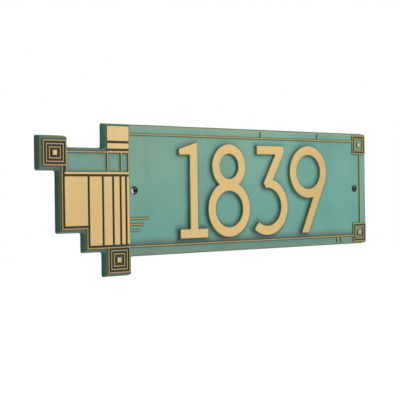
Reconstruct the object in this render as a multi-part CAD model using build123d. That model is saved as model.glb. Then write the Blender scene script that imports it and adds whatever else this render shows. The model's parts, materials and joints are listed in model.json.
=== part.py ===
"""House number plaque: one sand-cast plate with raised lines, panels and figures, on two screws.

Everything is drawn lying down, with x along the wall, y up it and z out of it, and stood up at the end:
the face then looks along -Y, +Z is up, and the origin is midway between the screws on the wall plane.
Sizes are in millimetres. Outlines are given where they meet the surface below, at the foot of the draft.
"""

from build123d import *

import os
from math import cos, radians, sin, tan

# Plate
screw_spacing = 329.0
plate_height = 133.4
plate_thickness = 7.0
side_draft = 14.0
corner_radius = 2.2
rim_radius = 0.6
right_margin = 21.7

# Stepped end: the column with its foot, the wing, the step under the wing, and the end block
column_reach = 36.2
column_width = 33.0
foot_drop = 18.8
notch_depth = 24.5
wing_reach = 52.8
wing_rise = 25.7
step_reach = 24.4
end_block = 33.8
end_overhang = 22.0
end_drop = 13.4

# Raised lines and panels
relief = 1.5
relief_draft = 14.0
line_width = 1.7
line_inset = 3.5
field_inset = 4.2
line_drop = 4.4
end_inset = 5.3
groove = 1.5
border_inset = 10.4
border_right = 12.7
corner_block = 21.0
ring_pitch = 3.2
centre_square = 5.6
upper_ticks = (10.0, 101.0)
lower_ticks = (133.0, 139.5)

# Band of plain fields under the notch, the rail below it, the graduated bars and the dashes
band_height = 19.2
field_width = 16.4
rail_height = 2.9
bar_count = 5
bar_ratio = 0.7
slab_count = 3
slab_ratio = 0.4
dash_rise = 16.0
dash_pitch = 6.0
dash_lengths = (12.0, 18.0, 24.0)

# Figures
figure_relief = 3.5
figure_draft = 8.0
figure_height = 100.8
figure_base = -51.0
overshoot = 0.4
stroke = 11.2
bar_stroke = 10.4

one_stem = -89.15
one_slab_width = 38.3
one_flag_reach = 25.6
one_flag_depth = 13.6
one_flag_shoulder = 6.8
one_flag_tip = 3.0

eight_centre = -39.7
eight_drop = 0.5
eight_upper_radius = 24.3
eight_lower_radius = 30.4

three_drop = 1.2
three_bowl_centre = 16.9
three_bowl_radius = 31.9
three_bar_left = 1.1
three_bar_right = 43.3
three_slope = 30.0
three_elbow_drop = 8.0
three_beak_rise = 26.6
three_bowl_start = 97.0
three_bowl_end = -130.0

nine_centre = 82.3
nine_radius = 30.3
nine_slope = 25.4
nine_foot_rise = 0.5

# Screws
head_diameter = 8.2
head_height = 2.6
head_rim = 0.9
shank_diameter = 4.2
thread_diameter = 3.6
screw_length = 38.0
tip_length = 5.0
screw_clearance = 0.4
recess_span = 4.4
recess_width = 1.2
recess_depth = 1.4

# Places worked out from the sizes above
left_screw = -screw_spacing / 2
right_screw = screw_spacing / 2
top = plate_height / 2
bottom = -plate_height / 2
right = right_screw + right_margin
column_left = left_screw - column_reach
column_right = column_left + column_width
foot = bottom - foot_drop
notch = top - notch_depth
wing_left = column_left - wing_reach
wing_bottom = bottom + wing_rise
step_left = column_left - step_reach
end_left = wing_left - end_overhang
end_right = end_left + end_block
end_top = top - end_drop
end_bottom = end_top - end_block

upper_line = top - border_inset
lower_line = bottom + border_inset
right_line = right - border_right
step_bottom = lower_line - line_drop
band_line = notch - line_drop
rail_top = band_line - band_height
wing_line = wing_left + line_inset
wing_lower_line = wing_bottom + line_drop
step_line = step_left + line_inset
end_lower_line = end_bottom + end_inset
end_line = end_right - line_inset
column_line = column_left + line_inset
field_line = column_right - field_inset

half_line = line_width / 2
clear_of_line = half_line + groove
field_edge = field_line + half_line
figure_top = figure_base + figure_height
figure_splay = figure_relief * tan(radians(figure_draft))


def polygon(*points):
    """A flat face with straight sides."""
    return make_face(Polyline(*points, close=True))


def rectangle(left, low, right_side, high):
    """A flat face from its four sides."""
    return polygon((left, low), (right_side, low), (right_side, high), (left, high))


def raise_face(face, height, draft):
    """A cast raised form: a face pushed out of the plate, its sides leaning in."""
    return Pos(0, 0, plate_thickness) * extrude(face, height, taper=draft)


def plate():
    """The plate itself: the stepped outline with rounded corners, drafted sides and a softened rim."""
    shape = polygon(
        (right, bottom),
        (right, top),
        (column_left, top),
        (column_left, notch),
        (end_right, notch),
        (end_right, end_top),
        (end_left, end_top),
        (end_left, end_bottom),
        (wing_left, end_bottom),
        (wing_left, wing_bottom),
        (step_left, wing_bottom),
        (step_left, step_bottom),
        (column_left, step_bottom),
        (column_left, foot),
        (column_right, foot),
        (column_right, bottom),
    )
    shape = fillet(shape.vertices(), corner_radius)
    solid = extrude(shape, plate_thickness, taper=side_draft)
    face = solid.faces().sort_by(Axis.Z)[-1]
    return fillet(face.outer_wire().edges(), rim_radius)


def line(*points):
    """A raised line: a trapezium swept along its centre line, with mitred corners."""
    path = Polyline(*[(x, y, plate_thickness) for x, y in points])
    along = path % 0
    section = Plane(path @ 0, x_dir=Vector(0, 0, 1).cross(along), z_dir=along)
    lean = relief * tan(radians(relief_draft))
    profile = section * polygon(
        (-half_line, 0),
        (half_line, 0),
        (half_line - lean, relief),
        (lean - half_line, relief),
    )
    return sweep(profile, path=path, transition=Transition.RIGHT)


def ring(left, low, right_side, high):
    """A raised line round a rectangle, begun halfway along its lower side."""
    middle = (left + right_side) / 2
    return line(
        (middle, low), (right_side, low), (right_side, high), (left, high), (left, low), (middle, low)
    )


def nest(left, low, right_side, high):
    """Rings inside one another about a plain square."""
    least = centre_square / 2 + clear_of_line
    half_width = (right_side - left) / 2
    half_height = (high - low) / 2
    x = (left + right_side) / 2
    y = (low + high) / 2
    pieces = []
    while min(half_width, half_height) > least:
        pieces.append(ring(x - half_width, y - half_height, x + half_width, y + half_height))
        half_width -= ring_pitch
        half_height -= ring_pitch
    half = centre_square / 2
    square = rectangle(x - half, y - half, x + half, y + half)
    pieces.append(raise_face(square, relief, relief_draft))
    return pieces


def graduated(start, end, count, ratio):
    """Spans that fill a length with a groove between each two, each span a set ratio of the one before."""
    total = abs(end - start) - (count - 1) * groove
    width = total * (1 - ratio) / (1 - ratio**count)
    toward = 1 if end > start else -1
    spans = []
    place = start
    for _ in range(count):
        spans.append((place, place + toward * width))
        place += toward * (width + groove)
        width *= ratio
    return spans


def lines():
    """The border, the lines that follow the stepped end, the band's dividers, the ticks and the dashes."""
    corner_left = right - line_inset - corner_block
    corner_top = top - line_inset - corner_block
    pieces = [
        line((field_line, upper_line), (corner_left, upper_line)),
        line((right_line, corner_top), (right_line, -corner_top)),
        line(
            (wing_line, end_lower_line),
            (wing_line, wing_lower_line),
            (step_line, wing_lower_line),
            (step_line, lower_line),
            (corner_left, lower_line),
        ),
        line((end_line, band_line), (column_line, band_line)),
        line((end_line, end_lower_line), (end_line, rail_top - half_line)),
    ]
    for x in (column_line, column_line + field_width, field_line):
        pieces.append(line((x, rail_top - half_line), (x, band_line)))
    for x in upper_ticks:
        pieces.append(line((x, upper_line), (x, top - line_inset)))
    for x in lower_ticks:
        pieces.append(line((x, lower_line), (x, bottom + line_inset)))
    for place, length in enumerate(dash_lengths):
        y = lower_line + dash_rise + place * dash_pitch
        pieces.append(line((field_line, y), (field_edge + length, y)))
    return pieces


def nests():
    """The nested squares: the end block, the foot and the two right corners."""
    far = right - line_inset
    near = far - corner_block
    high = top - line_inset
    low = high - corner_block
    pieces = nest(end_left + end_inset, end_lower_line, end_line, end_top - end_inset)
    pieces += nest(column_line, foot + line_drop, field_line, lower_line)
    pieces += nest(near, low, far, high)
    pieces += nest(near, -high, far, -low)
    return pieces


def panels():
    """The flat raised panels: slabs at the column's head, the rail, the wing's panel and the bars."""
    faces = []
    head_left = column_line - half_line
    head_low = band_line - half_line
    head_high = top - line_inset + half_line
    for high, low in graduated(head_high, head_low, slab_count, slab_ratio):
        faces.append(rectangle(head_left, low, field_edge, high))

    panel_left = wing_line + clear_of_line
    bars_left = step_line + clear_of_line
    rail_low = rail_top - rail_height
    bar_top = rail_low - groove
    faces.append(rectangle(panel_left, rail_low, field_edge, rail_top))
    faces.append(rectangle(panel_left, wing_lower_line + clear_of_line, bars_left - groove, bar_top))
    for left, right_side in graduated(bars_left, field_edge, bar_count, bar_ratio):
        faces.append(rectangle(left, lower_line + clear_of_line, right_side, bar_top))
    return [raise_face(face, relief, relief_draft) for face in faces]


def figure(face, counters=()):
    """One raised figure. Each counter is a round opening, given as its centre and radius."""
    solid = raise_face(face, figure_relief, figure_draft)
    for x, y, radius in counters:
        opening = Cone(radius, radius + figure_splay, figure_relief)
        solid -= Pos(x, y, plate_thickness + figure_relief / 2) * opening
    return solid


def disc(x, y, radius):
    """A round flat face."""
    return Pos(x, y) * Circle(radius)


def figure_one():
    """A stem with a sloping flag, on a slab."""
    stem_left = one_stem - stroke / 2
    stem_right = one_stem + stroke / 2
    flag_left = stem_right - one_flag_reach
    flag_low = figure_top - one_flag_depth
    stem = polygon(
        (stem_left, figure_base),
        (stem_right, figure_base),
        (stem_right, figure_top),
        (stem_right - one_flag_tip, figure_top),
        (flag_left, flag_low + one_flag_shoulder),
        (flag_left, flag_low),
        (stem_left, flag_low),
    )
    half_slab = one_slab_width / 2
    slab = rectangle(one_stem - half_slab, figure_base, one_stem + half_slab, figure_base + bar_stroke)
    return figure(stem + slab)


def figure_eight():
    """Two round bowls that run into each other."""
    upper = figure_top - eight_drop - eight_upper_radius
    lower = figure_base - overshoot + eight_lower_radius
    face = disc(eight_centre, upper, eight_upper_radius) + disc(eight_centre, lower, eight_lower_radius)
    return figure(
        face,
        (
            (eight_centre, upper, eight_upper_radius - stroke),
            (eight_centre, lower, eight_lower_radius - stroke),
        ),
    )


def figure_three():
    """A flat bar, a straight slope, and a round bowl cut off square at its end."""
    bowl_y = figure_base - overshoot + three_bowl_radius
    inner = three_bowl_radius - stroke
    turn = three_bowl_start - three_bowl_end

    def at(radius, angle):
        x = three_bowl_centre + radius * cos(radians(angle))
        return (x, bowl_y + radius * sin(radians(angle)))

    middle = (three_bowl_centre, bowl_y)
    bowl = make_face(
        [
            CenterArc(middle, three_bowl_radius, three_bowl_end, turn),
            Line(at(three_bowl_radius, three_bowl_start), at(inner, three_bowl_start)),
            CenterArc(middle, inner, three_bowl_start, -turn),
            Line(at(inner, three_bowl_end), at(three_bowl_radius, three_bowl_end)),
        ]
    )

    lean = tan(radians(three_slope))
    across = stroke / cos(radians(three_slope))
    bar_top = figure_top - three_drop
    bar_low = bar_top - bar_stroke
    elbow_y = bar_top - three_elbow_drop
    beak_y = bowl_y + three_beak_rise
    root = at(inner, three_bowl_start)
    root_y = bowl_y + (inner + three_bowl_radius) / 2

    def right_side(y):
        return three_bar_right - (elbow_y - y) * lean

    arm = polygon(
        (three_bar_left, bar_top),
        (three_bar_left, bar_low),
        (right_side(bar_low) - across, bar_low),
        (right_side(beak_y) - across, beak_y),
        root,
        (right_side(root_y), root_y),
        (three_bar_right, elbow_y),
        (three_bar_right, bar_top),
    )
    return figure(bowl + arm)


def figure_nine():
    """A round bowl with a straight tail that leaves it at a tangent and is cut level at the foot."""
    bowl_y = figure_top - nine_radius
    foot_y = figure_base + nine_foot_rise
    turn = radians(nine_slope)
    outer_x = nine_centre + nine_radius * cos(turn)
    outer_y = bowl_y - nine_radius * sin(turn)
    inner_x = outer_x - stroke * cos(turn)
    inner_y = outer_y + stroke * sin(turn)

    def down_to_foot(x, y):
        return (x - (y - foot_y) * tan(turn), foot_y)

    tail = polygon(
        (outer_x, outer_y),
        (inner_x, inner_y),
        down_to_foot(inner_x, inner_y),
        down_to_foot(outer_x, outer_y),
    )
    return figure(
        disc(nine_centre, bowl_y, nine_radius) + tail,
        ((nine_centre, bowl_y, nine_radius - stroke),),
    )


def screw_hole(x):
    """A clearance hole right through the plate."""
    radius = shank_diameter / 2 + screw_clearance
    return Pos(x, 0, plate_thickness / 2) * Cylinder(radius, plate_thickness)


def screw(x):
    """A pan-head screw seated on the plate, its threaded end standing out of the back."""
    head_radius = head_diameter / 2
    seat = plate_thickness
    crown = seat + head_height
    point = seat - screw_length
    shoulder = point + tip_length
    dome_height = head_height - head_rim
    dome_radius = (head_radius**2 + dome_height**2) / (2 * dome_height)
    half = Plane.XZ * make_face(
        [
            Polyline(
                (0, crown),
                (0, point),
                (thread_diameter / 2, shoulder),
                (thread_diameter / 2, 0),
                (shank_diameter / 2, 0),
                (shank_diameter / 2, seat),
                (head_radius, seat),
                (head_radius, seat + head_rim),
            ),
            RadiusArc((head_radius, seat + head_rim), (0, crown), -dome_radius),
        ]
    )
    body = revolve(half, Axis.Z)
    cross = Rectangle(recess_span, recess_width) + Rectangle(recess_width, recess_span)
    body -= Pos(0, 0, crown - recess_depth) * extrude(cross, head_height)
    return Pos(x, 0, 0) * body


def plaque():
    """The whole casting, with its two holes."""
    solid = plate()
    figures = [figure_one(), figure_eight(), figure_three(), figure_nine()]
    solid += lines() + nests() + panels() + figures
    for x in (left_screw, right_screw):
        solid -= screw_hole(x)
    return solid


stand_up = Plane.XZ
os.makedirs("parts", exist_ok=True)
export_step(stand_up * plaque(), "parts/plaque.step")
screws = Compound([screw(left_screw), screw(right_screw)])
export_step(stand_up * screws, "parts/mounting_screws.step")
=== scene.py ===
# %% [markdown]
# # A cast house number plaque
# The real plaque is one sand casting in aluminium. It is sprayed with a verdigris paint, washed with
# a dark glaze that stays in the corners, and its raised tops are finished in gold. Two screws hold it.
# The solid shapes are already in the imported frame, in metres, with the face looking along -Y. This
# lesson gives them their skin: a finer mesh, three finishes, turned screws, light and a camera.

# %% Open the frame
import json
import math
from types import SimpleNamespace

import bmesh
import bpy
import numpy as np
from mathutils import Matrix, Vector, geometry, kdtree

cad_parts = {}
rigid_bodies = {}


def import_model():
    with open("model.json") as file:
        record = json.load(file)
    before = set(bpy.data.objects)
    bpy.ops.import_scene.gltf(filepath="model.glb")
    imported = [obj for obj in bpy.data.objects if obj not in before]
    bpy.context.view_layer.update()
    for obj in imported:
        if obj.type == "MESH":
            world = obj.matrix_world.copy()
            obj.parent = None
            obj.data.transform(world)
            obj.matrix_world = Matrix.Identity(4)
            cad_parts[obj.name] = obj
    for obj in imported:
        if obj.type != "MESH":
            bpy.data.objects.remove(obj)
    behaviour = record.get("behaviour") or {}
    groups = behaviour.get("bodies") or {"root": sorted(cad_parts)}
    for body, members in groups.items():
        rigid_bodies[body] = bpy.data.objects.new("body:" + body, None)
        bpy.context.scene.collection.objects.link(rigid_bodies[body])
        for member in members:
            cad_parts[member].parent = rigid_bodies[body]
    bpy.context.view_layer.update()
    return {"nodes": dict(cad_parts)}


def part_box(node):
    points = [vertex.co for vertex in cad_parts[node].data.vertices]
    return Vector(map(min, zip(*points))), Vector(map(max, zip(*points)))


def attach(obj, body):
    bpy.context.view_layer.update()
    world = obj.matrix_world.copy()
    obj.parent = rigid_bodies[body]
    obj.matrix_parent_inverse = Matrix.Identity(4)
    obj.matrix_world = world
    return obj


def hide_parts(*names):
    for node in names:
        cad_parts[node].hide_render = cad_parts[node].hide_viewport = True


for stray in list(bpy.data.objects):
    bpy.data.objects.remove(stray)
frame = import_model()
MM = 0.001

# %% [markdown]
# ## Node trees as arithmetic
# A paint recipe is a sum: so much patina, so much wash. Wiring such a sum by hand takes dozens of
# Math nodes, so one small class wraps a socket and lets Python's own operators add those nodes. The
# same class serves materials and Geometry Nodes, because both use the same Math and Mix nodes.


# %% A socket that can be added and multiplied
class Wire:
    """One output socket of a node tree. Arithmetic on it adds Math nodes."""

    def __init__(self, tree, socket=None):
        self.tree = tree
        self.socket = socket

    def add(self, kind, settings=None, sockets=None, out=0):
        """Any node: its type, then its settings, then the values or links of its sockets."""
        node = self.tree.nodes.new(kind)
        for name, value in (settings or {}).items():
            setattr(node, name, value)
        for key, value in (sockets or {}).items():
            if isinstance(value, Wire):
                self.tree.links.new(value.socket, node.inputs[key])
            else:
                node.inputs[key].default_value = value
        return Wire(self.tree, node.outputs[out])

    def math(self, operation, left, right):
        return self.add("ShaderNodeMath", {"operation": operation}, {0: left, 1: right})

    def __add__(self, other):
        return self.math("ADD", self, other)

    __radd__ = __add__

    def __mul__(self, other):
        return self.math("MULTIPLY", self, other)

    __rmul__ = __mul__

    def __sub__(self, other):
        return self.math("SUBTRACT", self, other)

    def __rsub__(self, other):
        return self.math("SUBTRACT", other, self)

    def __truediv__(self, other):
        return self.math("DIVIDE", self, other)

    def __rtruediv__(self, other):
        return self.math("DIVIDE", other, self)

    def most(self, other):
        return self.math("MAXIMUM", self, other)

    def least(self, other):
        return self.math("MINIMUM", self, other)

    def rise(self, low, high):
        """A soft step from 0 at low to 1 at high."""
        settings = {"interpolation_type": "SMOOTHSTEP"}
        return self.add("ShaderNodeMapRange", settings, {"Value": self, "From Min": low, "From Max": high})

    def fall(self, low, high):
        """A soft step from 1 at low to 0 at high."""
        return 1 - self.rise(low, high)

    def split(self):
        """The three numbers of a vector."""
        first = self.add("ShaderNodeSeparateXYZ", None, {0: self})
        outputs = first.socket.node.outputs
        return [Wire(self.tree, outputs[i]) for i in range(3)]


def blend(under, over, amount):
    """One colour painted over another. Colours go through Mix, which keeps their hue."""
    wire = next(w for w in (amount, under, over) if isinstance(w, Wire))
    return wire.add("ShaderNodeMix", {"data_type": "RGBA"}, {0: amount, 6: under, 7: over}, out=2)


def srgb(red, green, blue):
    """A paint colour given as a screen shows it, 0 to 255, turned into the linear light of a shader."""
    channels = []
    for value in (red, green, blue):
        c = value / 255
        channels.append(c / 12.92 if c <= 0.04045 else ((c + 0.055) / 1.055) ** 2.4)
    return (*channels, 1.0)


print("a mid green in linear light:", [round(c, 3) for c in srgb(112, 166, 152)])

# %% [markdown]
# ## Finishes
# Every finish reads Object coordinates. The pieces sit at the origin with their place in their mesh,
# so these are metres on the real plaque and a 40 mm cloud of colour is 40 mm everywhere.


# %% A new material with its shader
def new_finish(name, **constants):
    """A material with a Principled shader. What is the same all over is set on the shader itself."""
    material = bpy.data.materials.new(name)
    material.use_nodes = True
    shader = material.node_tree.nodes["Principled BSDF"]
    for socket, value in constants.items():
        shader.inputs[socket.replace("_", " ")].default_value = value
    return material, shader, Wire(material.node_tree)


def place(start):
    """The point being shaded, in metres, as a vector."""
    return start.add("ShaderNodeTexCoord", out=3)


def noise(point, scale, detail=3.0, stretch=(1, 1, 1)):
    """Soft noise from 0 to 1. The scale is in cells per metre, stretched along each axis."""
    size = tuple(scale * s for s in stretch)
    mapped = point.add("ShaderNodeMapping", None, {"Vector": point, "Scale": size})
    return point.add("ShaderNodeTexNoise", None, {"Vector": mapped, "Scale": 1.0, "Detail": detail})


def attribute(start, name):
    """A number that the mesh carries at each of its points."""
    return start.add("ShaderNodeAttribute", {"attribute_name": name}, out=2)


def lead(wire, shader, socket):
    """Links a wire to one of the shader's sockets."""
    wire.tree.links.new(wire.socket, shader.inputs[socket])


def pebble(shader, height, strength, depth):
    """The grain of the casting, as bump on the shader's normal."""
    sockets = {"Strength": strength, "Distance": depth, "Height": height}
    lead(height.add("ShaderNodeBump", None, sockets), shader, "Normal")


# %% [markdown]
# ### Verdigris
# On the real plaque the green was built up in turn: a dark undercoat, pale coats sprayed from the front,
# tan from a dry brush, and a dark glaze that was mostly wiped off again. One painted image could hold all
# that, but it would fit one size only. Here each coat is a rule about where a point is, which way it faces
# and how far it is from the next raised form. The mesh carries those distances, so the glaze is laid by the
# millimetre. Places are in metres, gaps in millimetres, and strengths are shares of a full coat.

# %% What the paint asks about a point
STEP_X = -0.1715
STEP_BLUR = 0.003
LOWER_LINE_Z = -0.0563
BELOW_LINE = (-1.0, 0.0)
FIELD_HEIGHT = (-0.05, 0.045)
FACES_SPRAY = (0.25, 0.85)
CLOUDS = 22
PATCHES = 70
PATCH_CUT = (0.3, 0.7)
SPECKLES = 260
SPECKLE_SWING = 0.9


def read_casting(start):
    """Wires that several coats share: the place, the way it faces, the distances and soft noise."""
    at = SimpleNamespace()
    at.point = place(start)
    at.x, at.y, at.z = at.point.split()
    _, at.backward, at.upward = start.add("ShaderNodeNewGeometry", out=3).split()
    at.spray = (0 - at.backward).rise(*FACES_SPRAY)
    at.step = at.x.fall(STEP_X, STEP_X + STEP_BLUR)
    at.field = 1 - at.step
    at.high = at.z.rise(*FIELD_HEIGHT)
    at.over_line = (at.z - LOWER_LINE_Z) / MM
    at.below = at.over_line.fall(*BELOW_LINE)
    at.line_gap = attribute(start, "line_gap") / MM
    at.figure_gap = attribute(start, "figure_gap") / MM
    at.rim_gap = attribute(start, "rim_gap") / MM
    at.groove_width = attribute(start, "groove_width") / MM
    at.cloud = noise(at.point, CLOUDS)
    at.patchy = noise(at.point, PATCHES).rise(*PATCH_CUT)
    at.jitter = (noise(at.point, SPECKLES) - 0.5) * SPECKLE_SWING
    return at


# %% [markdown]
# The pale coats drift between three greens. The upper middle is painted palest: painted light from above.

# %% Sprayed coats
PATINA = srgb(112, 169, 155)
PATINA_PALE = srgb(121, 175, 160)
PATINA_GREY = srgb(107, 162, 150)
GREEN_CLOUDS = (0.3, 0.55)
PALE_CLOUDS = (0.52, 0.75)
PALE_SHARE = 0.6
LIT_UPPER_HEIGHT = (0.45, 0.9)
LIT_UPPER_START = (-0.05, -0.01)
LIT_UPPER_END = (0.04, 0.09)
LIT_UPPER_SHARE = 0.9


def painted_light_upper(at):
    """1 in the upper middle, where the green is painted paler as painted light."""
    # Painted light: the upper middle of the field is made paler.
    return at.high.rise(*LIT_UPPER_HEIGHT) * at.x.rise(*LIT_UPPER_START) * at.x.fall(*LIT_UPPER_END)


def sprayed(at, lit_upper):
    """The pale greens of what faces the spray."""
    colour = blend(PATINA_GREY, PATINA, at.cloud.rise(*GREEN_CLOUDS))
    # The upper middle is painted palest: painted light.
    return blend(colour, PATINA_PALE, (at.cloud.rise(*PALE_CLOUDS) * PALE_SHARE).most(lit_upper * LIT_UPPER_SHARE))


# %% [markdown]
# The dry brush left faint tan strokes. Noise that is stretched along one axis gives them a direction: most
# run upright at the upper left, and level ones cross the stepped end. Between the border lines and the
# rim the tan lies as dust, with a soft edge along the rim.

# %% Strokes of the dry brush
DRY_BRUSH = srgb(186, 177, 130)
UPRIGHT_NOISE = {"scale": 80, "detail": 4.0, "stretch": (3.0, 1.0, 0.8)}
UPRIGHT_CUT = (0.3, 0.8)
UPRIGHT_SHARE = 0.14
LEVEL_NOISE = {"scale": 60, "detail": 4.0, "stretch": (0.7, 1.0, 3.5)}
LEVEL_CUT = (0.5, 0.78)
LEVEL_SHARE = 0.1
EVEN_SHARE = 0.1
LEFT_FADE = (-0.16, 0.06)
STEP_LESS = 0.45
STEP_SHARE = 0.3
HIGH_SHARE = 0.04


def brush_strokes(at):
    """How much tan the strokes left."""
    upright = noise(at.point, **UPRIGHT_NOISE).rise(*UPRIGHT_CUT)
    level = noise(at.point, **LEVEL_NOISE).rise(*LEVEL_CUT)
    upper_left = at.x.fall(*LEFT_FADE) * at.high * (1 - at.step * STEP_LESS)
    strokes = upper_left * (EVEN_SHARE + upright * UPRIGHT_SHARE + level * LEVEL_SHARE)
    return strokes + upright * at.high * HIGH_SHARE + level * at.step * STEP_SHARE


# %% Dust along the border
RIGHT_LINE_X = 0.1735
UPPER_LINE_Z = 0.0563
BORDER_EDGE = (0.0, 0.002)
FOOT_EDGE = (-2.0, 0.0)
FEATHER_GAP = (0.3, 2.6)
FEATHER_SHARE = 0.2
BORDER_RIGHT = (STEP_X, 0.1)
BORDER_RIGHT_SHARE = 0.06
BORDER_SHARE = 0.03
FOOT_LEFT = (-0.14, -0.06)
FOOT_LEFT_SHARE = 0.13
FOOT_RIGHT = (0.11, 0.15)
FOOT_RIGHT_SHARE = 0.08


def border_dust(at):
    """How much tan lies outside the border lines."""
    border = (at.x - RIGHT_LINE_X).most(at.z - UPPER_LINE_Z).rise(*BORDER_EDGE)
    foot = at.over_line.fall(*FOOT_EDGE)
    feather = border.most(foot) * at.rim_gap.fall(*FEATHER_GAP) * FEATHER_SHARE
    above = border * (at.x.rise(*BORDER_RIGHT) * BORDER_RIGHT_SHARE + BORDER_SHARE)
    below = foot * (at.x.fall(*FOOT_LEFT) * FOOT_LEFT_SHARE + at.x.rise(*FOOT_RIGHT) * FOOT_RIGHT_SHARE)
    return (above + below + feather) * at.field


# %% [markdown]
# The spray hardly reached the drafted walls, so they keep the undercoat. It is darker low down and greyer
# at the far left end. Where a wall looks up or down it gets its own tone, as painted light and shade. Next
# to the rim the walls are worn to a tan, and towards the back they are dirty. The flat back has one thin
# coat, and bare metal shows through it.

# %% Undercoat
SIDE_GREEN = srgb(73, 143, 122)
SIDE_LOW = srgb(59, 116, 102)
SIDE_GREY = srgb(74, 105, 95)
SIDE_UP_LIGHTING = srgb(86, 128, 108)
STEP_UP_LIGHTING = srgb(66, 116, 101)
SIDE_DOWN_LIGHTING = srgb(98, 144, 124)
BARE_CASTING = srgb(140, 146, 140)
GLAZE = srgb(38, 48, 50)
RUBBED = srgb(150, 118, 72)
WALL_HEIGHT = (-0.04, 0.03)
END_X = (-0.25, -0.205)
END_SWING = 0.01
LOOKS_UP = (0.4, 0.8)
LOOKS_DOWN = (-0.8, -0.4)
LOOKS_BACK = (0.7, 0.9)
WALL_BACK = (-0.0045, 0.0)
WALL_DIRT = 0.2
WALL_FRONT = (-0.0068, -0.003)
WALL_WEAR = 0.06
WALL_WEAR_CLOUDS = 0.12
BLOTCHES = {"scale": 18, "detail": 4.0}
BLOTCH_CUT = (0.42, 0.7)
BLOTCH_SHARE = 0.5
PORES = {"scale": 500, "detail": 2.0}
PORE_CUT = (0.5, 0.75)
PORE_SHARE = 0.15


def undercoat(at):
    """The colour of the walls and the back."""
    colour = blend(SIDE_LOW, SIDE_GREEN, at.z.rise(*WALL_HEIGHT))
    colour = blend(colour, SIDE_GREY, (at.x + at.jitter * END_SWING).fall(*END_X))
    # Painted light and shade: walls that look up or down get their own tones.
    colour = blend(colour, blend(SIDE_UP_LIGHTING, STEP_UP_LIGHTING, at.step), at.upward.rise(*LOOKS_UP))
    colour = blend(colour, SIDE_DOWN_LIGHTING, at.upward.fall(*LOOKS_DOWN))
    colour = blend(colour, GLAZE, at.y.rise(*WALL_BACK) * WALL_DIRT)
    colour = blend(colour, RUBBED, at.y.fall(*WALL_FRONT) * (WALL_WEAR + at.cloud * WALL_WEAR_CLOUDS))
    blotches = noise(at.point, **BLOTCHES).rise(*BLOTCH_CUT)
    pores = noise(at.point, **PORES).rise(*PORE_CUT)
    back = blend(SIDE_LOW, BARE_CASTING, blotches * BLOTCH_SHARE + pores * PORE_SHARE)
    return blend(colour, back, at.backward.rise(*LOOKS_BACK))


# %% [markdown]
# Umber is painted low on the field as shade: most just above the lower line, less below it, and some round
# the feet of the figures.

# %% Painted shade low on the field
UMBER = srgb(96, 78, 62)
LINE_SHADE_HEIGHT = (1.0, 10.5)
LINE_SHADE_SWING = 2
LINE_SHADE_SHARE = 0.52
LINE_SHADE_LESS_BELOW = 0.3
FEET_SHADE_HEIGHT = (-0.05, -0.02)
FEET_SHADE_GAP = (2.0, 9.0)
FEET_SHADE_SHARE = 0.18


def low_painted_shade(at):
    """How much umber is painted low on the field as shade."""
    # Painted shade: umber above and below the lower line, and round the feet of the figures.
    line_shade = (at.over_line + at.jitter * LINE_SHADE_SWING).fall(*LINE_SHADE_HEIGHT)
    feet_shade = at.z.fall(*FEET_SHADE_HEIGHT) * (at.figure_gap + at.jitter).fall(*FEET_SHADE_GAP) * FEET_SHADE_SHARE
    return (line_shade * (LINE_SHADE_SHARE - at.below * LINE_SHADE_LESS_BELOW)).most(feet_shade) * at.field * at.spray


# %% [markdown]
# Slate grey is painted beside the raised forms: a halo round the figures, more of it between a figure and a
# line, and along the lower line. These are painted shade, with some glaze. By the lines of the stepped end
# it is a smear of glaze.

# %% Painted shade and glaze film
SLATE = srgb(54, 57, 63)
HALO_GAP = (0.3, 6.5)
HALO_SHARE = 0.56
HALO_LESS_HIGH = 0.3
HALO_EVEN = 0.6
HALO_PATCHES = 0.6
BETWEEN_GAP = (3.6, 12.0)
BETWEEN_HIGH = (0.0, 0.7)
BETWEEN_SHARE = 0.5
SHORE_HEIGHT = (0.5, 5.5)
SHORE_SHARE = 0.24
SHORE_LESS_BELOW = 0.16
SMEAR_GAP = (0.5, 5.0)
SMEAR_SWING = 2
SMEAR_SHARE = 0.18
SMEAR_PATCHES = 0.05


def painted_shade_and_glaze_film(at):
    """How much slate grey: painted shade round the figures and along the lower line, glaze on the stepped
    end.
    """
    # Painted shade: a halo round the figures, between figure and line, and along the lower line.
    halo = (at.figure_gap + at.jitter).fall(*HALO_GAP) * (HALO_SHARE - at.high * HALO_LESS_HIGH)
    halo = halo * (HALO_EVEN + at.patchy * HALO_PATCHES)
    between = (at.figure_gap + at.line_gap + at.jitter).fall(*BETWEEN_GAP)
    between = between * at.high.fall(*BETWEEN_HIGH) * BETWEEN_SHARE
    shore = (at.over_line + at.jitter).fall(*SHORE_HEIGHT) * (SHORE_SHARE - at.below * SHORE_LESS_BELOW)
    smear = (at.line_gap + at.jitter * SMEAR_SWING).fall(*SMEAR_GAP) * SMEAR_SHARE
    smear = (smear + at.patchy * SMEAR_PATCHES) * at.step
    return halo.most(between).most(shore * at.field + smear) * at.spray


# %% [markdown]
# The full dark glaze is left in grooves too narrow for the cloth and on the outer strip of the stepped end.
# Tight against the raised lines the same dark is painted shade as well as glaze. Last of all, handling
# rubbed the rim to a tan.

# %% Glaze, painted shade by the lines and rubbed rim
GROOVE_WIDTH = (1.4, 3.6)
GROOVE_SWING = 0.5
GROOVE_STEP = 1.2
GROOVE_SHARE = 0.88
FIGURE_CLEAR = (3.6, 4.6)
ON_FIELD = (-0.0065, -0.0055)
TIGHT_GAP = (0.1, 1.6)
TIGHT_SWING = 0.5
TIGHT_SHARE = 0.4
STRIP_GAP = (2.2, 3.4)
STRIP_SHARE = 0.54
RUB_GAP = (0.15, 0.8)
RUB_SWING = 0.3
RUB_SPRAY = (0.3, 0.8)
RUB_SHARE = 0.32
RUB_PATCHES = 0.3
RUB_LESS_STEP = 0.04
RUB_HEIGHT = (-0.05, 0.06)
RUB_TAN = 0.8


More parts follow.
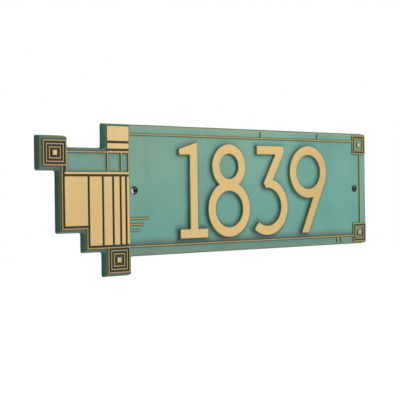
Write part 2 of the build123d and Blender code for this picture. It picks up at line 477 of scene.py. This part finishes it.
def glaze_and_line_shade(at):
    """How much of the dark glaze stayed, with painted shade tight against the raised lines."""
    width = at.groove_width + at.jitter * GROOVE_SWING - at.step * GROOVE_STEP
    groove = width.fall(*GROOVE_WIDTH) * at.figure_gap.rise(*FIGURE_CLEAR)
    groove = groove * at.y.fall(*ON_FIELD) * GROOVE_SHARE
    # Painted shade and glaze tight against the raised lines.
    tight = (at.line_gap + at.jitter * TIGHT_SWING).fall(*TIGHT_GAP) * TIGHT_SHARE
    strip = at.step * at.rim_gap.fall(*STRIP_GAP) * at.spray * STRIP_SHARE
    return groove.most(tight).most(strip)


def rubbed_rim(at, colour):
    """The colour with its rim rubbed, browner low down and on the stepped end."""
    rub = (at.rim_gap + at.jitter * RUB_SWING).fall(*RUB_GAP) * at.spray.rise(*RUB_SPRAY)
    rub = rub * (RUB_SHARE + at.patchy * RUB_PATCHES - at.step * RUB_LESS_STEP)
    tan = blend(RUBBED, DRY_BRUSH, at.z.rise(*RUB_HEIGHT) * at.field * RUB_TAN)
    return blend(colour, tan, rub)


# %% All the coats in turn
LIT_UPPER_TAN = 0.05
GRAIN = 900
GRAIN_STRENGTH = 0.12
GRAIN_DEPTH = 0.0002
WALL_ROUGHNESS = 0.66
CLOUD_ROUGHNESS = 0.14
GLAZE_ROUGHNESS = 0.1
SPRAY_SMOOTHNESS = 0.2


def verdigris_finish():
    material, shader, start = new_finish("verdigris", Specular_IOR_Level=0.18)
    at = read_casting(start)
    lit_upper = painted_light_upper(at)
    # The painted light of the upper middle also carries a little tan.
    tan = brush_strokes(at) + lit_upper * LIT_UPPER_TAN + border_dust(at)
    colour = blend(sprayed(at, lit_upper), DRY_BRUSH, tan)
    colour = blend(undercoat(at), colour, at.spray)
    colour = blend(colour, UMBER, low_painted_shade(at))
    colour = blend(colour, SLATE, painted_shade_and_glaze_film(at))
    glaze_and_shade = glaze_and_line_shade(at)
    colour = rubbed_rim(at, blend(colour, GLAZE, glaze_and_shade))
    roughness = WALL_ROUGHNESS + at.cloud * CLOUD_ROUGHNESS + glaze_and_shade * GLAZE_ROUGHNESS
    lead(colour, shader, "Base Color")
    lead(roughness - at.spray * SPRAY_SMOOTHNESS, shader, "Roughness")
    pebble(shader, noise(at.point, GRAIN), GRAIN_STRENGTH, GRAIN_DEPTH)
    return material


verdigris = verdigris_finish()
print("verdigris nodes:", len(verdigris.node_tree.nodes))

# %% [markdown]
# ### Gold
# The raised tops are brushed with a gold paint. It is satin, not polished, so its colour hardly changes
# over the plaque. Long soft noise gives the brush, and fine noise gives the flakes. The paint is thin at the
# edges, where the brown ground shows, so the narrow lines look darker than the panels and the figures.
# Painted light makes the gold paler towards the upper left, and painted shade deepens it to the right, low
# down and at the far left end.

# %% Gold paint
GOLD = srgb(221, 189, 127)
GOLD_DEEP = srgb(209, 174, 110)
GOLD_PALE = srgb(236, 206, 144)
GOLD_THIN = srgb(183, 146, 78)
GOLD_CLOUDS = 35
GOLD_CLOUD_CUT = (0.1, 0.4)
BRUSH_NOISE = {"scale": 120, "stretch": (4.0, 1.0, 0.5)}
BRUSH_CUT = (0.5, 0.75)
BRUSH_SHARE = 0.2
FLAKES = 700
PALE_FLAKES = (0.5, 0.7)
DEEP_FLAKES = (0.3, 0.5)
FLAKE_SHARE = 0.35
FLAKE_STRENGTH = 0.08
FLAKE_DEPTH = 0.0001
GOLD_SHADE_RIGHT = (0.02, 0.12)
GOLD_SHADE_SLANT = 0.5
GOLD_SHADE_LEFT = (-0.23, -0.17)
GOLD_SHADE_LEFT_SHARE = 0.35
GOLD_SHADE_SHARE = 0.7
GOLD_LIT_TOP = (0.06, 0.12)
GOLD_LIT_SLANT = 0.4
GOLD_LIT_SHARE = 0.4
THIN_GAP = (0.15, 0.6)
THIN_SWING = 0.3
GOLD_ROUGHNESS = 0.42
BRUSH_ROUGHNESS = 0.16


def gold_finish():
    material, shader, start = new_finish("gold_paint", Metallic=0.1, Specular_IOR_Level=0.3)
    point = place(start)
    x, _, z = point.split()
    brush = noise(point, **BRUSH_NOISE)
    flake = noise(point, FLAKES)
    # Painted light: the gold is paler towards the upper left.
    gold_painted_light = (z - x * GOLD_LIT_SLANT).rise(*GOLD_LIT_TOP)
    pale = brush.rise(*BRUSH_CUT) * BRUSH_SHARE + flake.rise(*PALE_FLAKES) * FLAKE_SHARE
    # Painted shade: the gold is deeper to the right, low down and at the far left end.
    gold_painted_shade = (x - z * GOLD_SHADE_SLANT).rise(*GOLD_SHADE_RIGHT) + x.fall(*GOLD_SHADE_LEFT) * GOLD_SHADE_LEFT_SHARE
    deep = gold_painted_shade * GOLD_SHADE_SHARE + flake.fall(*DEEP_FLAKES) * FLAKE_SHARE
    edge = attribute(start, "top_gap") / MM + flake * THIN_SWING - THIN_SWING / 2
    colour = blend(GOLD_DEEP, GOLD, noise(point, GOLD_CLOUDS).rise(*GOLD_CLOUD_CUT))
    colour = blend(colour, GOLD_PALE, pale + gold_painted_light * GOLD_LIT_SHARE)
    colour = blend(colour, GOLD_DEEP, deep)
    colour = blend(colour, GOLD_THIN, edge.fall(*THIN_GAP))
    lead(colour, shader, "Base Color")
    lead(GOLD_ROUGHNESS + brush * BRUSH_ROUGHNESS, shader, "Roughness")
    pebble(shader, flake, FLAKE_STRENGTH, FLAKE_DEPTH)
    return material


gold = gold_finish()
print("gold nodes:", len(gold.node_tree.nodes))

# %% [markdown]
# ### Black screws
# The screws are blackened and polished. A black gloss reflects little straight on and much at a slant, so
# the heads look dark with bright edges. Fine noise breaks the gloss a little. On the outer side of each head
# a near-white arc along the edge of the dome is a painted highlight.

# %% Blackened steel
SCREW_SPACING = 0.329
BLACK_STEEL = srgb(26, 16, 18)
WORN_STEEL = srgb(84, 62, 64)
PAINTED_GLINT = srgb(250, 247, 248)
BLOTS = 500
BLOT_CUT = (0.5, 0.68)
GLINT_OUTWARD = 0.98
GLINT_DOWNWARD = 0.2
GLINT_ARC = (0.6, 0.92)
GLINT_RADIUS = (0.0025, 0.0031)
GLINT_SWING = 0.0016
GLINT_FRONT = (-0.0080, -0.0076)
STEEL_ROUGHNESS = 0.1
BLOT_ROUGHNESS = 0.1


def screw_finish():
    material, shader, start = new_finish("black_steel", Metallic=0.3, Specular_IOR_Level=0.4)
    point = place(start)
    x, y, z = point.split()
    blot = noise(point, BLOTS)
    outward = start.math("ABSOLUTE", x, 0.0) - SCREW_SPACING / 2
    arm = start.add("ShaderNodeCombineXYZ", None, {"X": outward, "Y": z})
    radius = start.add("ShaderNodeVectorMath", {"operation": "LENGTH"}, {0: arm}, out=1)
    outer = ((outward * GLINT_OUTWARD - z * GLINT_DOWNWARD) / radius).rise(*GLINT_ARC)
    edge = (radius + (blot - 0.5) * GLINT_SWING).rise(*GLINT_RADIUS) * y.fall(*GLINT_FRONT)
    colour = blend(BLACK_STEEL, WORN_STEEL, blot.rise(*BLOT_CUT))
    # Painted highlight: a near-white arc on the outer edge of each dome.
    colour = blend(colour, PAINTED_GLINT, outer * edge)
    lead(colour, shader, "Base Color")
    lead(STEEL_ROUGHNESS + blot * BLOT_ROUGHNESS, shader, "Roughness")
    return material


black_steel = screw_finish()
print("screw finish nodes:", len(black_steel.node_tree.nodes))

# %% [markdown]
# ## The casting
# A CAD mesh has only the points its flat faces need, so nothing can vary across a face. One way round
# that is a fine remesh, but it would blunt the crisp edges. Here every edge of the casting stays, and only
# the flat faces at the front get new points: many near an edge, few in the open. They are joined by a
# Delaunay triangulation that keeps the old edges.

# %% Read the casting's solid
FIELD_Y = -0.0070
LINE_TOP_Y = -0.0085
FIGURE_TOP_Y = -0.0105
WELD = 1e-6
FLAT_FACING = -0.999
LEVEL_SLACK = 5e-5


def is_level(face, height):
    """True for a flat face that looks forward at this height."""
    return face.normal.y < FLAT_FACING and abs(face.calc_center_median().y - height) < LEVEL_SLACK


source = frame["nodes"]["plaque"].data
work = bmesh.new()
corners = [work.verts.new(v.co) for v in source.vertices]
for polygon in source.polygons:
    work.faces.new([corners[i] for i in polygon.vertices])
bmesh.ops.remove_doubles(work, verts=work.verts, dist=WELD)
bmesh.ops.dissolve_degenerate(work, edges=work.edges, dist=WELD)
work.normal_update()
print("casting:", len(work.verts), "points,", len(work.faces), "faces")

# %% [markdown]
# ### Softened tops
# Sand castings have no knife edges. The top edges of the lines, panels and figures get a small round,
# which catches a thread of light. The tops are first joined into whole faces, because a bevel follows
# the outline of a face and would stumble over leftover diagonals.

# %% Round the raised edges
EDGE_ROUND = 0.00016
ROUND_STEPS = 2
FLAT_ANGLE = math.radians(0.3)


def is_top(face):
    return is_level(face, LINE_TOP_Y) or is_level(face, FIGURE_TOP_Y)


def outline_of(faces):
    """The edges that have one of these faces on one side only."""
    return [e for e in work.edges if sum(f in faces for f in e.link_faces) == 1]


tops = {f for f in work.faces if is_top(f)}
inner = [e for e in work.edges if len(e.link_faces) == 2 and all(f in tops for f in e.link_faces)]
bmesh.ops.dissolve_limit(work, angle_limit=FLAT_ANGLE, verts=[], edges=inner)
work.normal_update()
tops = {f for f in work.faces if is_top(f)}
rims = outline_of(tops)
bmesh.ops.bevel(
    work, geom=rims, offset=EDGE_ROUND, offset_type="OFFSET", segments=ROUND_STEPS, profile=0.5,
    affect="EDGES", clamp_overlap=False, loop_slide=False,
)
work.normal_update()
print("tops:", len(tops), "rounded edges:", len(rims), "faces now:", len(work.faces))

# %% [markdown]
# ### Finer flat faces
# Long edges are cut into short pieces first, so that the triangles beside them are well shaped. The new
# points lie on square grids of 8, 4, 2 and 1 mm, each used only so far from an edge. The field and both
# levels of tops are done in turn, because the gold needs points as well as the green.

# %% Points inside an outline, in millimetres
EDGE_PIECE = 1.2
CLEAR = 0.7
GRIDS = ((8.0, 1000.0), (4.0, 14.0), (2.0, 7.0), (1.0, 3.2))
plaque_low, plaque_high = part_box("plaque")


def grid_lines(low, high, pitch):
    """The places of a grid's lines between two places in metres."""
    return np.arange(math.floor(low / MM / pitch) * pitch, high / MM, pitch)


def heights_over(x, outline):
    """The heights at which the outline crosses this x."""
    x1, z1, x2, z2 = outline[:, (outline[0] <= x) != (outline[2] <= x)]
    return z1 + (x - x1) / (x2 - x1) * (z2 - z1)


def is_inside(heights, z):
    """True where a line straight up from z crosses the outline an odd number of times."""
    return np.count_nonzero(heights > z) % 2 == 1


def grid_points(edge_points, outline):
    """Points on the grids that lie inside the outline and clear of its own points."""
    near = kdtree.KDTree(len(edge_points))
    for i, (x, z) in enumerate(edge_points):
        near.insert((x, 0, z), i)
    near.balance()
    spots = set()
    for pitch, reach in GRIDS:
        for x in grid_lines(plaque_low.x, plaque_high.x, pitch):
            heights = heights_over(x, outline)
            for z in grid_lines(plaque_low.z, plaque_high.z, pitch):
                if is_inside(heights, z) and CLEAR < near.find((x, 0, z))[2] < reach:
                    spots.add((float(x), float(z)))
    return sorted(spots)


# %% Join them and put the new faces in
WHOLE_HULL = 0
JOIN_SLACK = 1e-6


def cut_outline(faces):
    """Cuts the outline of these faces into short edges and returns them."""
    for edge in outline_of(faces):
        cuts = math.ceil(edge.calc_length() / MM / EDGE_PIECE) - 1
        if cuts > 0:
            bmesh.ops.bisect_edges(work, edges=[edge], cuts=cuts)
    return outline_of(faces)


def add_forward_face(corners):
    """A new face that looks forward, whichever way round its corners come."""
    face = work.faces.new(corners)
    face.normal_update()
    if face.normal.y > 0:
        face.normal_flip()


def refine(height):
    """Gives every flat forward face at this height a fine mesh that keeps its outline."""
    old = {f for f in work.faces if is_level(f, height)}
    edges = cut_outline(old)
    verts = list({v: None for e in edges for v in e.verts})
    index = {v: i for i, v in enumerate(verts)}
    flat = [Vector((v.co.x / MM, v.co.z / MM)) for v in verts]
    outline = np.array([[c for v in e.verts for c in flat[index[v]]] for e in edges]).T
    flat += [Vector(p) for p in grid_points(flat, outline)]
    fixed = [tuple(index[v] for v in e.verts) for e in edges]
    spots, _, triangles, origins, _, _ = geometry.delaunay_2d_cdt(flat, fixed, [], WHOLE_HULL, JOIN_SLACK)
    bmesh.ops.delete(work, geom=[f for f in work.faces if f in old], context="FACES")

    points = []
    added = set()
    for i, (spot, origin) in enumerate(zip(spots, origins)):
        known = [j for j in origin if j < len(verts)]
        points.append(verts[known[0]] if known else work.verts.new((spot.x * MM, height, spot.y * MM)))
        if not known:
            added.add(i)
    made = 0
    for triangle in triangles:
        x, z = (sum(spots[i][axis] for i in triangle) / 3 for axis in (0, 1))
        if not added.isdisjoint(triangle) or is_inside(heights_over(x, outline), z):
            add_forward_face([points[i] for i in triangle])
            made += 1
    bmesh.ops.delete(work, geom=[v for v in work.verts if not v.link_faces], context="VERTS")
    work.normal_update()
    return made


for label, height in (("field", FIELD_Y), ("lines and panels", LINE_TOP_Y), ("figures", FIGURE_TOP_Y)):
    print(label, "triangles:", refine(height))
print("open edges:", sum(len(e.link_faces) != 2 for e in work.edges))

# %% [markdown]
# ### Marks for the painter
# Geometry Nodes measures the distances. Four kinds of edges are marked: the feet of the low lines and
# panels, the feet of the figures, the rim, and the edges of the gold. One tree finds, for every point of
# the casting, how far away the nearest edge of each kind is, and stores it where the paint can read it.

# %% Mark edges and gold faces
GOLD_FACING = -0.55
WALL_FACING = -0.99
FIELD_SLACK = 1e-5
RIM_SLACK = 0.0001
TOP_SLACK = 0.0005

line_foot = work.edges.layers.bool.new("line_foot")
figure_foot = work.edges.layers.bool.new("figure_foot")
rim_edge = work.edges.layers.bool.new("rim_edge")
gold_edge = work.edges.layers.bool.new("gold_edge")
golden = work.faces.layers.bool.new("golden")

for face in work.faces:
    raised = face.calc_center_median().y < LINE_TOP_Y + EDGE_ROUND
    face[golden] = face.normal.y < GOLD_FACING and raised
for edge in work.edges:
    edge[gold_edge] = len({f[golden] for f in edge.link_faces}) == 2
    walls = [f for f in edge.link_faces if f.normal.y > WALL_FACING]
    if walls and all(abs(v.co.y - FIELD_Y) < FIELD_SLACK for v in edge.verts):
        reach = min(v.co.y for f in walls for v in f.verts)
        edge[figure_foot] = reach < LINE_TOP_Y - TOP_SLACK
        edge[line_foot] = FIELD_Y - RIM_SLACK > reach > LINE_TOP_Y - TOP_SLACK
        edge[rim_edge] = reach > FIELD_Y - RIM_SLACK
for name, layer in (("line", line_foot), ("figure", figure_foot), ("rim", rim_edge), ("gold", gold_edge)):
    print(name, "edges:", sum(e[layer] for e in work.edges))
print("gold faces:", sum(f[golden] for f in work.faces))

casting_mesh = bpy.data.meshes.new("casting")
work.to_mesh(casting_mesh)
work.free()

# %% [markdown]
# All Geometry Nodes trees start and end alike, so a few helpers do that: one opens a tree with named inputs,
# two end it, and one runs it on a mesh. The result is copied into a plain mesh, so the finished piece no
# longer depends on its tree.


# %% Helpers for Geometry Nodes
def new_tree(name, inputs):
    """A Geometry Nodes tree with named inputs. Returns it, the inputs' wires and their identifiers."""
    tree = bpy.data.node_groups.new(name, "GeometryNodeTree")
    keys = {}
    for label, kind in {"Geometry": "Geometry", **inputs}.items():
        item = tree.interface.new_socket(label, in_out="INPUT", socket_type="NodeSocket" + kind)
        keys[label] = item.identifier
    tree.interface.new_socket("Geometry", in_out="OUTPUT", socket_type="NodeSocketGeometry")
    entry = tree.nodes.new("NodeGroupInput")
    given = {label: Wire(tree, entry.outputs[label]) for label in keys}
    return tree, given, keys


def make_real(mesh, material):
    """Turns instances into mesh and sets the finish."""
    real = mesh.add("GeometryNodeRealizeInstances", None, {0: mesh})
    return real.add("GeometryNodeSetMaterial", None, {"Geometry": real, "Material": material})


def send_out(mesh):
    """Ends a tree with this mesh."""
    exit_node = mesh.tree.nodes.new("NodeGroupOutput")
    mesh.tree.links.new(mesh.socket, exit_node.inputs[0])


def grow(name, mesh, tree, keys, values):
    """Runs a tree on a mesh and keeps the result as a plain object at the origin."""
    piece = bpy.data.objects.new(name, mesh)
    modifier = piece.modifiers.new("grow", "NODES")
    modifier.node_group = tree
    for label, value in values.items():
        modifier[keys[label]] = value
    bpy.context.scene.collection.objects.link(piece)
    depsgraph = bpy.context.evaluated_depsgraph_get()
    plain = bpy.data.meshes.new_from_object(piece.evaluated_get(depsgraph), depsgraph=depsgraph)
    piece.modifiers.remove(modifier)
    piece.data = plain
    plain.name = name
    return piece


# %% [markdown]
# A groove's width can't be had from one nearest edge, because it needs both sides. So every point sends
# eight rays, just above the field: level, upright and along both diagonals, which see across the corners
# of a ring. Each pair of opposite rays gives a width, and the least is kept. The two diagonals count as one,
# by the longer of them: in the corner of a wide field one is short, and only in a ring's corner both are.

# %% Measure a groove with rays
RAY_PAIRS = ((1, 0, 0), (0, 0, 1), (1, 0, 1), (1, 0, -1))
DIAGONAL_SHARE = 0.6


def ray_length(mesh, origin, direction, reach):
    """How far a ray goes before it meets the mesh, or its whole reach."""
    sockets = {
        "Target Geometry": mesh, "Source Position": origin, "Ray Direction": direction, "Ray Length": reach,
    }
    is_hit = mesh.add("GeometryNodeRaycast", {"data_type": "FLOAT"}, sockets)
    length = Wire(mesh.tree, is_hit.socket.node.outputs["Hit Distance"])
    return is_hit * length + (1 - is_hit) * reach


def groove_width(mesh, lift, reach):
    """The least width between raised forms at each point."""
    x, y, z = mesh.add("GeometryNodeInputPosition").split()
    origin = mesh.add("ShaderNodeCombineXYZ", None, {"X": x, "Y": y - lift, "Z": z})
    widths = []
    for ahead in RAY_PAIRS:
        behind = tuple(-c for c in ahead)
        widths.append(ray_length(mesh, origin, ahead, reach) + ray_length(mesh, origin, behind, reach))
    level, upright, rising, falling = widths
    return level.least(upright).least(rising.most(falling) * DIAGONAL_SHARE)


# %% Measure the distances and set both finishes
GAPS = {"line_foot": "line_gap", "figure_foot": "figure_gap", "rim_edge": "rim_gap", "gold_edge": "top_gap"}
CASTING_CREASE = math.radians(32)


def marked(mesh, name):
    """A mark that the mesh carries, as a selection."""
    return mesh.add("GeometryNodeInputNamedAttribute", {"data_type": "BOOLEAN"}, {"Name": name})


def nearest_edge(mesh, mark):
    """The distance to the nearest edge that has this mark."""
    chosen = {"Geometry": mesh, "Selection": marked(mesh, mark)}
    edges = mesh.add("GeometryNodeSeparateGeometry", {"domain": "EDGE"}, chosen)
    return mesh.add("GeometryNodeProximity", {"target_element": "EDGES"}, {0: edges}, out=1)


def distance_tree():
    inputs = {"Field finish": "Material", "Top finish": "Material"}
    inputs |= {"Ray lift": "Float", "Ray reach": "Float"}
    tree, given, keys = new_tree("paint_distances", inputs)
    mesh = given["Geometry"]
    values = {gap: nearest_edge(mesh, mark) for mark, gap in GAPS.items()}
    values["groove_width"] = groove_width(mesh, given["Ray lift"], given["Ray reach"])
    measured = mesh
    for name, value in values.items():
        measured = mesh.add(
            "GeometryNodeStoreNamedAttribute",
            {"data_type": "FLOAT", "domain": "POINT"},
            {"Geometry": measured, "Name": name, "Value": value},
        )
    painted = make_real(measured, given["Field finish"])
    gilding = {"Geometry": painted, "Selection": marked(mesh, "golden"), "Material": given["Top finish"]}
    send_out(mesh.add("GeometryNodeSetMaterial", None, gilding))
    return tree, keys


tree, keys = distance_tree()
coats = {"Field finish": verdigris, "Top finish": gold, "Ray lift": 0.0005, "Ray reach": 0.008}
casting = grow("casting", casting_mesh, tree, keys, coats)
casting.data.shade_smooth()
casting.data.set_sharp_from_angle(angle=CASTING_CREASE)
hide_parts("plaque")
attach(casting, "root")
print("casting mesh:", len(casting.data.polygons), "faces,", [m.name for m in casting.data.materials])

# %% [markdown]
# ## The screws
# Each screw is turned and then threaded. A lathe form is one profile carried round an axis, and a thread
# is a ridge that climbs by one pitch a turn. Both are rules, so a Geometry Nodes tree bends a flat grid
# into the screw: one side of the grid runs along the profile, the other round the axis. A cross is then cut
# in the head, and the screw is set on the two points of a line.

# %% The screw's profile
HEAD_RADIUS = 0.0041
HEAD_HEIGHT = 0.0026
HEAD_RIM = 0.0009
SHANK_RADIUS = 0.0021
THREAD_RADIUS = 0.0018
SCREW_LENGTH = 0.038
TIP_LENGTH = 0.005
DOME_STEPS = 10

dome = HEAD_HEIGHT - HEAD_RIM
dome_radius = (HEAD_RADIUS**2 + dome**2) / (2 * dome)
crown_y = FIELD_Y - HEAD_HEIGHT
point_y = FIELD_Y + SCREW_LENGTH
half_angle = math.asin(HEAD_RADIUS / dome_radius)
profile = []
for step in range(DOME_STEPS + 1):
    turn = half_angle * step / DOME_STEPS
    profile.append((dome_radius * math.sin(turn), crown_y + dome_radius * (1 - math.cos(turn))))
profile += [
    (HEAD_RADIUS, FIELD_Y),
    (SHANK_RADIUS, FIELD_Y),
    (SHANK_RADIUS, 0.0),
    (THREAD_RADIUS, 0.0),
    (THREAD_RADIUS, point_y - TIP_LENGTH),
    (0.0, point_y),
]
profile_mesh = bpy.data.meshes.new("screw_profile")
chain = [(i, i + 1) for i in range(len(profile) - 1)]
profile_mesh.from_pydata([(r, y, 0) for r, y in profile], chain, [])
print("profile points:", len(profile), "crown at", round(crown_y / MM, 2), "mm")

# %% [markdown]
# The thread fades in behind the plate and out at the tip. The merge at the end of the lathe closes the seam
# and both poles. The cross is two blocks taken out of the head, a little deeper than its arms are wide.

# %% Turn, thread and cut one screw
GRID_ALONG = 300
GRID_AROUND = 33
RIDGE_SLOPE = (0.25, 0.95)
THREAD_START = (0.0, 0.002)
THREAD_END = (0.0, 0.0045)


def turned_screw(line, given):
    """A grid bent into a screw round the Y axis."""
    sheet = {"Size X": 1.0, "Size Y": 1.0, "Vertices X": GRID_ALONG, "Vertices Y": GRID_AROUND}
    grid = line.add("GeometryNodeMeshGrid", None, sheet)
    along, around, _ = line.add("GeometryNodeInputPosition").split()
    around = around + 0.5
    on_profile = {"Curves": line, "Factor": along + 0.5}
    radius, axial, _ = line.add("GeometryNodeSampleCurve", {"mode": "FACTOR"}, on_profile, out=1).split()
    climb = line.math("FRACT", axial / given["Pitch"] + around, 0.0)
    ridge = line.math("ABSOLUTE", climb * 2 - 1, 0.0)
    threaded = axial.rise(*THREAD_START) * (point_y - axial).rise(*THREAD_END)
    radius = (radius - ridge.rise(*RIDGE_SLOPE) * given["Thread depth"] * threaded).most(0.0)
    angle = around * (2 * math.pi)
    right = radius * line.math("COSINE", angle, 0.0)
    up = radius * line.math("SINE", angle, 0.0)
    spot = line.add("ShaderNodeCombineXYZ", None, {"X": right, "Y": axial, "Z": up})
    turned = line.add("GeometryNodeSetPosition", None, {"Geometry": grid, "Position": spot})
    return line.add("GeometryNodeMergeByDistance", None, {"Geometry": turned, "Distance": WELD})


def cross_cut(screw, given):
    """The screw with a cross recess in its head."""
    settings = {"operation": "DIFFERENCE", "solver": "EXACT"}
    crossed = screw.add("GeometryNodeMeshBoolean", settings, {0: screw})
    for first, second in (("Cross span", "Cross width"), ("Cross width", "Cross span")):
        sides = {"X": given[first], "Y": given["Cross depth"] * 2, "Z": given[second]}
        size = screw.add("ShaderNodeCombineXYZ", None, sides)
        block = screw.add("GeometryNodeMeshCube", None, {"Size": size})
        moved = {"Geometry": block, "Translation": (0, crown_y, 0)}
        cutter = screw.add("GeometryNodeTransform", None, moved)
        screw.tree.links.new(cutter.socket, crossed.socket.node.inputs[1])
    return crossed


# %% [markdown]
# The two screws were not driven to the same angle, so each copy is turned by its own amount.

# %% Set two screws
FIRST_TURN = 0.5
MORE_TURN = 0.9
SCREW_CREASE = math.radians(35)


def screw_tree():
    sizes = {"Spacing": "Float", "Pitch": "Float", "Thread depth": "Float", "Finish": "Material"}
    sizes |= {"Cross span": "Float", "Cross width": "Float", "Cross depth": "Float"}
    tree, given, keys = new_tree("turned_screws", sizes)
    line = given["Geometry"].add("GeometryNodeMeshToCurve", None, {0: given["Geometry"]})
    screw = cross_cut(turned_screw(line, given), given)
    step = line.add("ShaderNodeCombineXYZ", None, {"X": given["Spacing"]})
    begin = line.add("ShaderNodeCombineXYZ", None, {"X": given["Spacing"] * -0.5})
    pair = line.add("GeometryNodeMeshLine", None, {"Count": 2, "Start Location": begin, "Offset": step})
    which = line.add("GeometryNodeInputIndex")
    swing = line.add("ShaderNodeCombineXYZ", None, {"Y": which * MORE_TURN + FIRST_TURN})
    copies = {"Points": pair, "Instance": screw, "Rotation": swing}
    placed = line.add("GeometryNodeInstanceOnPoints", None, copies)
    send_out(make_real(placed, given["Finish"]))
    return tree, keys


tree, keys = screw_tree()
screw_sizes = {
    "Spacing": SCREW_SPACING, "Pitch": 0.0017, "Thread depth": 0.0005, "Finish": black_steel,
    "Cross span": 0.0044, "Cross width": 0.0012, "Cross depth": 0.0014,
}
screws = grow("screws", profile_mesh, tree, keys, screw_sizes)
shell = bmesh.new()
shell.from_mesh(screws.data)
bmesh.ops.recalc_face_normals(shell, faces=shell.faces)
print("screw faces:", len(shell.faces), "open edges:", sum(len(e.link_faces) != 2 for e in shell.edges))
shell.to_mesh(screws.data)
shell.free()
screws.data.shade_smooth()
screws.data.set_sharp_from_angle(angle=SCREW_CREASE)
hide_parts("mounting_screws")
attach(screws, "root")

# %% [markdown]
# ## Floor, light and camera
# The picture is a product shot on white. A pale floor lies well below the plaque and takes its shadow.
# The sky is white where the camera or a reflection looks at it, and much dimmer as a source of light.

# %% Floor
FLOOR_Z = -0.5
FLOOR_HALF = 6.0
FLOOR_PAINT = (0.85, 0.85, 0.85, 1)
FLOOR_GLOW = (0.72, 0.72, 0.72, 1)
BLACK = (0, 0, 0, 1)
WHITE = (1, 1, 1, 1)
SEEN_RAYS = ("Is Camera Ray", "Is Glossy Ray", "Is Transmission Ray")

floor_mesh = bpy.data.meshes.new("floor")
ends = [(x * FLOOR_HALF, y * FLOOR_HALF, FLOOR_Z) for x, y in ((-1, -1), (1, -1), (1, 1), (-1, 1))]
floor_mesh.from_pydata(ends, [], [(0, 1, 2, 3)])
floor = bpy.data.objects.new("floor", floor_mesh)
bpy.context.scene.collection.objects.link(floor)


def seen(start):
    """1 for a ray from the camera, a mirror or a glass, and 0 for light that only fills."""
    rays = start.add("ShaderNodeLightPath").socket.node.outputs
    return sum(Wire(start.tree, rays[name]) for name in SEEN_RAYS).rise(0.0, 1.0)


floor_paint, floor_shader, start = new_finish(
    "floor_white", Base_Color=FLOOR_PAINT, Roughness=1.0, Emission_Strength=1.0
)
lead(blend(BLACK, FLOOR_GLOW, seen(start)), floor_shader, "Emission Color")
floor_mesh.materials.append(floor_paint)
print("floor at", FLOOR_Z, "m")

# %% Sky
SKY_FILL = 0.35
world = bpy.data.worlds.new("studio")
world.use_nodes = True
sky = Wire(world.node_tree)
background = world.node_tree.nodes["Background"]
background.inputs["Strength"].default_value = 1.0
lead(blend((SKY_FILL, SKY_FILL, SKY_FILL, 1), WHITE, seen(sky)), background, "Color")
bpy.context.scene.world = world
print("sky fill:", SKY_FILL)

# %% [markdown]
# The light is plain and soft. One large lamp stands in front, above and a little to the right. A weaker one
# stands behind, so that the back can be seen too. Large lamps give soft shadows and quiet reflections.


# %% Lamps
def soft_box(name, stand, width, height, watts):
    """A large flat lamp that looks at the middle of the plaque."""
    lamp = bpy.data.lights.new(name, "AREA")
    lamp.shape = "RECTANGLE"
    lamp.size = width
    lamp.size_y = height
    lamp.energy = watts
    holder = bpy.data.objects.new(name, lamp)
    holder.location = stand
    holder.rotation_euler = (-Vector(stand)).to_track_quat("-Z", "Y").to_euler()
    bpy.context.scene.collection.objects.link(holder)


soft_box("key", stand=(0.45, -1.6, 0.8), width=1.5, height=1.2, watts=19.5)
soft_box("back_fill", stand=(0.3, 1.6, 0.9), width=1.4, height=1.0, watts=12)

# %% [markdown]
# The camera stands to the left of the plaque at the height of its middle, and looks 40 degrees to the
# right. It was fitted to the plaque's known corners, which gave its place, its focal length and a slight
# roll.

# %% Camera
YAW = math.radians(40.0)
PITCH = math.radians(-0.2)
ROLL = math.atan(0.0135)
EYE = Vector((-0.7859, -0.8502, -0.0069))
FOCUS_PIXELS = 1041.74
PICTURE_PIXELS = 400
SENSOR = 36.0
NEAREST = 0.05
FARTHEST = 50.0

ahead = Vector((math.sin(YAW) * math.cos(PITCH), math.cos(YAW) * math.cos(PITCH), math.sin(PITCH)))
right = ahead.cross(Vector((0, 0, 1))).normalized()
above = right.cross(ahead)
right, above = (
    right * math.cos(ROLL) - above * math.sin(ROLL),
    right * math.sin(ROLL) + above * math.cos(ROLL),
)
lens = bpy.data.cameras.new("camera")
lens.sensor_width = SENSOR
lens.lens = FOCUS_PIXELS / PICTURE_PIXELS * SENSOR
lens.clip_start = NEAREST
lens.clip_end = FARTHEST
camera = bpy.data.objects.new("camera", lens)
camera.matrix_world = Matrix((right, above, -ahead)).transposed().to_4x4()
camera.location = EYE
bpy.context.scene.collection.objects.link(camera)
bpy.context.scene.camera = camera
bpy.context.scene.view_settings.view_transform = "Standard"
print("lens:", round(lens.lens, 2), "mm")
